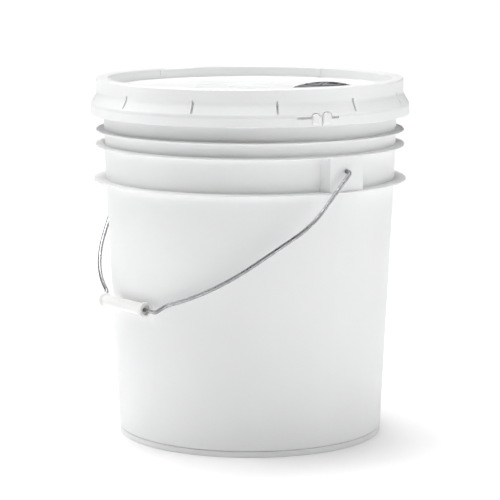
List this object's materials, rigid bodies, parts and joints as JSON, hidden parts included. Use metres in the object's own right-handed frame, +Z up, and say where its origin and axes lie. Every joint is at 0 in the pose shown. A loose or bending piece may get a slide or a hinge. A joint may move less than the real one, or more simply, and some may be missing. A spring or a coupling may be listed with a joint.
{
  "type": "plastic fermenting bucket",
  "caption": "Tapered white plastic fermenting pail with a wire bail and grip, and a tight tear-band lid that carries a pull-up pour spout.",
  "frame": {"origin": "on the pail's axis at the level its foot ring stands on", "axes": "+Z up along the pail's axis; X along the line that the bail pivots about; the bail hangs towards -Y at rest"},
  "size_m": [0.3244, 0.3128, 0.3516],
  "materials": {
    "pail_plastic": "satin moulded polyethylene",
    "lid_plastic": "satin moulded polyethylene, a little smoother than the pail",
    "bail_steel": "bright zinc-plated wire",
    "grip_plastic": "satin moulded polyethylene",
    "gasket_rubber": "foamed ring, matt",
    "crimp_metal": "dark grey coated sheet",
    "boot_plastic": "soft polyethylene, matt",
    "spout_plastic": "moulded, satin",
    "seal_foil": "foil",
    "liner_foam": "foamed disc, matt",
    "cap_plastic": "moulded, satin"
  },
  "bodies": {
    "pail": {"pail_body": "pail_plastic"},
    "bail": {"bail_wire": "bail_steel"},
    "grip": {"bail_grip": "grip_plastic"},
    "lid": {"lid": "lid_plastic", "tear_band": "lid_plastic", "lid_gasket": "gasket_rubber", "crimp_ring": "crimp_metal", "spout_boot": "boot_plastic"},
    "spout": {"spout_tube": "spout_plastic", "seal_foil": "seal_foil"},
    "cap": {"spout_cap": "cap_plastic", "cap_liner": "liner_foam"},
    "pull_ring_right": {"pull_ring_right": "cap_plastic"},
    "pull_ring_left": {"pull_ring_left": "cap_plastic"}
  },
  "joints": [
    {"name": "bail_swing", "type": "hinge", "parent": "pail", "child": "bail", "pos_m": [0, 0, 0.2722], "axis": [-1, 0, 0], "range_deg": [0, 265]},
    {"name": "grip_spin", "type": "hinge", "parent": "bail", "child": "grip", "pos_m": [0, -0.14416, 0.13823], "axis": [1, 0, 0], "continuous": true},
    {"name": "lid_lift", "type": "slide", "parent": "pail", "child": "lid", "axis": [0, 0, 1], "range_m": [0, 0.1]},
    {"name": "spout_pull", "type": "slide", "parent": "lid", "child": "spout", "axis": [0, 0, 1], "range_m": [0, 0.036], "deforming": ["spout_boot"]},
    {"name": "cap_turn", "type": "hinge", "parent": "spout", "child": "cap", "pos_m": [0.0915, 0.0219, 0.347], "axis": [0, 0, 1], "range_deg": [0, 450]},
    {"name": "pull_right_lift", "type": "hinge", "parent": "cap", "child": "pull_ring_right", "pos_m": [0.10444, 0.03096, 0.3479], "axis": [-0.5736, 0.8192, 0], "range_deg": [0, 90]},
    {"name": "pull_left_lift", "type": "hinge", "parent": "cap", "child": "pull_ring_left", "pos_m": [0.07856, 0.01284, 0.3479], "axis": [0.5736, -0.8192, 0], "range_deg": [0, 90]}
  ]
}
